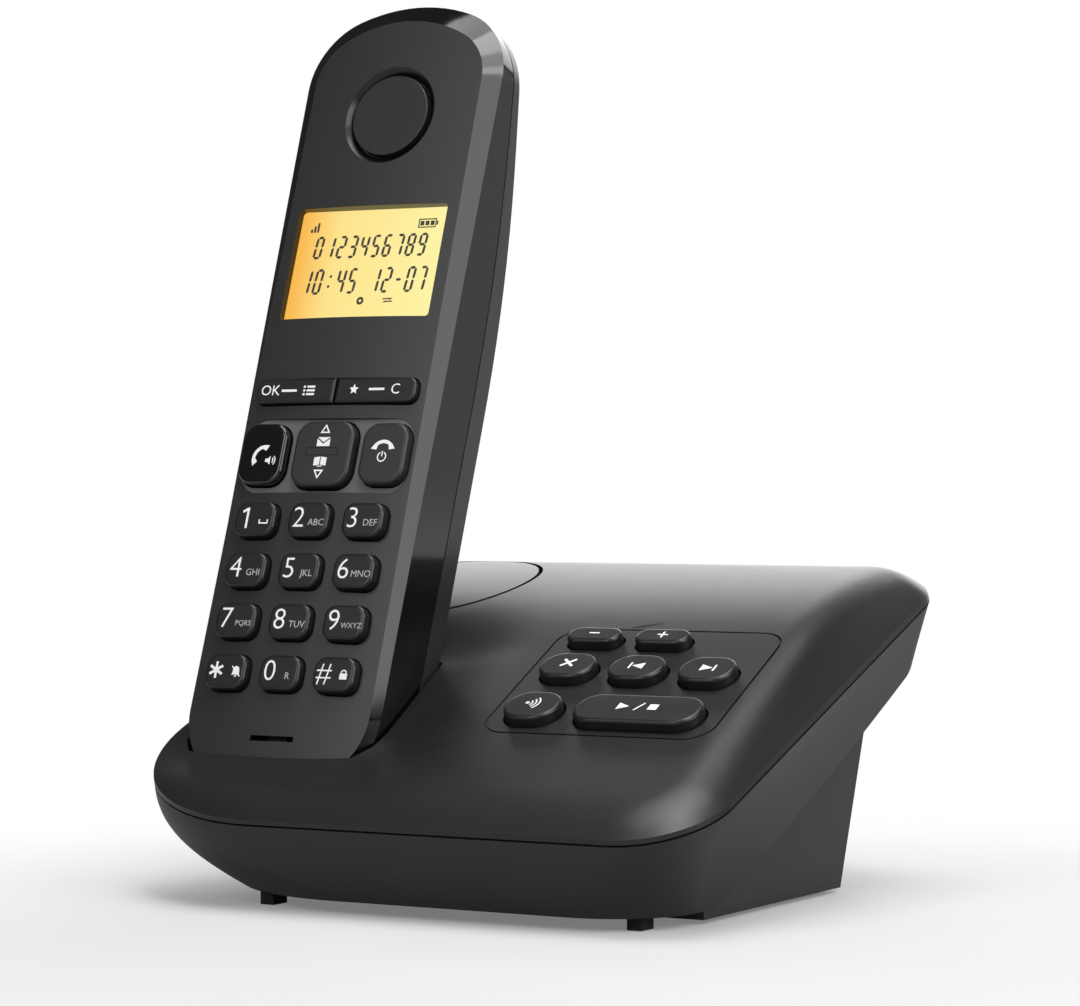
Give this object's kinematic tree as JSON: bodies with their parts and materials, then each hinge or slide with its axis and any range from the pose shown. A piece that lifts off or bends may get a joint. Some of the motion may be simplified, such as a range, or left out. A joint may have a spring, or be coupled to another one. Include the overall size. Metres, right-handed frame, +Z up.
{
  "type": "cordless telephone with answering base",
  "caption": "Cordless telephone handset leaning in a charging base with answering machine keys, amber display window, keypad and battery door.",
  "frame": {"origin": "middle of the bounding box on the floor the feet stand on", "axes": "+Z up, -Y to the front where the handset's face and the keys point, +X to the right seen from the front"},
  "size_m": [0.1326, 0.1134, 0.1784],
  "materials": {
    "handset_front": "satin dark grey",
    "handset_rear": "fine matt dark grey",
    "number_keys": "satin dark grey with white legends",
    "soft_keys": "satin dark grey with white legends",
    "control_keys": "gloss black with white legends",
    "display_lens": "clear",
    "display_amber": "amber backlight",
    "earpiece": "satin dark grey",
    "black_parts": "matt black",
    "key_mats": "grey silicone",
    "boards": "green board",
    "cells": "shrink sleeve",
    "contacts": "plated",
    "base_top": "satin dark grey",
    "base_bottom": "satin dark grey",
    "answer_keys": "satin dark grey with white legends",
    "screws": "zinc plated",
    "feet": "matt black"
  },
  "bodies": {
    "base": {"base_bottom_shell": "base_bottom", "base_top_shell": "base_top", "base_key_mat": "key_mats", "base_circuit_board": "boards", "speaker_cover": "base_top", "loudspeaker": "black_parts", "line_socket": "black_parts", "power_socket": "black_parts", "base_screw_1": "screws", "base_screw_2": "screws", "base_screw_3": "screws", "front_foot_left": "feet", "front_foot_right": "feet", "rear_pad_left": "feet", "rear_pad_right": "feet", "charging_pin_left": "contacts", "charging_pin_right": "contacts"},
    "handset": {"handset_front_shell": "handset_front", "handset_rear_shell": "handset_rear", "display_window": "display_lens", "display_panel": "display_amber", "earpiece_cap": "earpiece", "earpiece_speaker": "black_parts", "microphone": "black_parts", "handset_key_mat": "key_mats", "handset_circuit_board": "boards", "battery_left": "cells", "battery_right": "cells", "battery_spring_plate": "contacts", "battery_tip_plate": "contacts", "ringer": "black_parts", "handset_contact_left": "contacts", "handset_contact_right": "contacts"},
    "battery_door": {"battery_door": "handset_rear"},
    "key_1": {"key_1": "number_keys"},
    "key_2": {"key_2": "number_keys"},
    "key_3": {"key_3": "number_keys"},
    "key_4": {"key_4": "number_keys"},
    "key_5": {"key_5": "number_keys"},
    "key_6": {"key_6": "number_keys"},
    "key_7": {"key_7": "number_keys"},
    "key_8": {"key_8": "number_keys"},
    "key_9": {"key_9": "number_keys"},
    "key_star": {"key_star": "number_keys"},
    "key_0": {"key_0": "number_keys"},
    "key_hash": {"key_hash": "number_keys"},
    "talk_key": {"talk_key": "control_keys"},
    "end_key": {"end_key": "control_keys"},
    "left_soft_key": {"left_soft_key": "soft_keys"},
    "right_soft_key": {"right_soft_key": "soft_keys"},
    "navigation_key": {"navigation_key": "control_keys"},
    "volume_down_key": {"volume_down_key": "answer_keys"},
    "volume_up_key": {"volume_up_key": "answer_keys"},
    "delete_key": {"delete_key": "answer_keys"},
    "back_key": {"back_key": "answer_keys"},
    "forward_key": {"forward_key": "answer_keys"},
    "paging_key": {"paging_key": "answer_keys"},
    "play_stop_key": {"play_stop_key": "answer_keys"}
  },
  "joints": [
    {"name": "handset_lift", "type": "slide", "parent": "base", "child": "handset", "axis": [0, 0.3272, 0.945], "range_m": [0, 0.08]},
    {"name": "battery_door_hinge", "type": "hinge", "parent": "handset", "child": "battery_door", "pos_m": [-0.0384, 0.00502, 0.05864], "axis": [-1, 0, 0], "range_deg": [0, 35]},
    {"name": "key_1_press", "type": "slide", "parent": "handset", "child": "key_1", "axis": [0, 0.945, -0.3272], "range_m": [0, 0.0009], "stiffness_N_per_m": 200},
    {"name": "key_2_press", "type": "slide", "parent": "handset", "child": "key_2", "axis": [0, 0.945, -0.3272], "range_m": [0, 0.0009], "stiffness_N_per_m": 200},
    {"name": "key_3_press", "type": "slide", "parent": "handset", "child": "key_3", "axis": [0, 0.945, -0.3272], "range_m": [0, 0.0009], "stiffness_N_per_m": 200},
    {"name": "key_4_press", "type": "slide", "parent": "handset", "child": "key_4", "axis": [0, 0.945, -0.3272], "range_m": [0, 0.0009], "stiffness_N_per_m": 200},
    {"name": "key_5_press", "type": "slide", "parent": "handset", "child": "key_5", "axis": [0, 0.945, -0.3272], "range_m": [0, 0.0009], "stiffness_N_per_m": 200},
    {"name": "key_6_press", "type": "slide", "parent": "handset", "child": "key_6", "axis": [0, 0.945, -0.3272], "range_m": [0, 0.0009], "stiffness_N_per_m": 200},
    {"name": "key_7_press", "type": "slide", "parent": "handset", "child": "key_7", "axis": [0, 0.945, -0.3272], "range_m": [0, 0.0009], "stiffness_N_per_m": 200},
    {"name": "key_8_press", "type": "slide", "parent": "handset", "child": "key_8", "axis": [0, 0.945, -0.3272], "range_m": [0, 0.0009], "stiffness_N_per_m": 200},
    {"name": "key_9_press", "type": "slide", "parent": "handset", "child": "key_9", "axis": [0, 0.945, -0.3272], "range_m": [0, 0.0009], "stiffness_N_per_m": 200},
    {"name": "key_star_press", "type": "slide", "parent": "handset", "child": "key_star", "axis": [0, 0.945, -0.3272], "range_m": [0, 0.0009], "stiffness_N_per_m": 200},
    {"name": "key_0_press", "type": "slide", "parent": "handset", "child": "key_0", "axis": [0, 0.945, -0.3272], "range_m": [0, 0.0009], "stiffness_N_per_m": 200},
    {"name": "key_hash_press", "type": "slide", "parent": "handset", "child": "key_hash", "axis": [0, 0.945, -0.3272], "range_m": [0, 0.0009], "stiffness_N_per_m": 200},
    {"name": "talk_key_press", "type": "slide", "parent": "handset", "child": "talk_key", "axis": [0, 0.945, -0.3272], "range_m": [0, 0.0009], "stiffness_N_per_m": 200},
    {"name": "end_key_press", "type": "slide", "parent": "handset", "child": "end_key", "axis": [0, 0.945, -0.3272], "range_m": [0, 0.0009], "stiffness_N_per_m": 200},
    {"name": "left_soft_key_press", "type": "slide", "parent": "handset", "child": "left_soft_key", "axis": [0, 0.945, -0.3272], "range_m": [0, 0.0009], "stiffness_N_per_m": 200},
    {"name": "right_soft_key_press", "type": "slide", "parent": "handset", "child": "right_soft_key", "axis": [0, 0.945, -0.3272], "range_m": [0, 0.0009], "stiffness_N_per_m": 200},
    {"name": "navigation_key_rock", "type": "hinge", "parent": "handset", "child": "navigation_key", "pos_m": [-0.0384, -0.00776, 0.08423], "axis": [1, 0, 0], "range_deg": [-4, 4], "stiffness_Nm_per_rad": 0.05},
    {"name": "volume_down_key_press", "type": "slide", "parent": "base", "child": "volume_down_key", "axis": [0, 0.454, -0.891], "range_m": [0, 0.0009], "stiffness_N_per_m": 200},
    {"name": "volume_up_key_press", "type": "slide", "parent": "base", "child": "volume_up_key", "axis": [0, 0.454, -0.891], "range_m": [0, 0.0009], "stiffness_N_per_m": 200},
    {"name": "delete_key_press", "type": "slide", "parent": "base", "child": "delete_key", "axis": [0, 0.454, -0.891], "range_m": [0, 0.0009], "stiffness_N_per_m": 200},
    {"name": "back_key_press", "type": "slide", "parent": "base", "child": "back_key", "axis": [0, 0.454, -0.891], "range_m": [0, 0.0009], "stiffness_N_per_m": 200},
    {"name": "forward_key_press", "type": "slide", "parent": "base", "child": "forward_key", "axis": [0, 0.454, -0.891], "range_m": [0, 0.0009], "stiffness_N_per_m": 200},
    {"name": "paging_key_press", "type": "slide", "parent": "base", "child": "paging_key", "axis": [0, 0.454, -0.891], "range_m": [0, 0.0009], "stiffness_N_per_m": 200},
    {"name": "play_stop_key_press", "type": "slide", "parent": "base", "child": "play_stop_key", "axis": [0, 0.454, -0.891], "range_m": [0, 0.0009], "stiffness_N_per_m": 200}
  ]
}
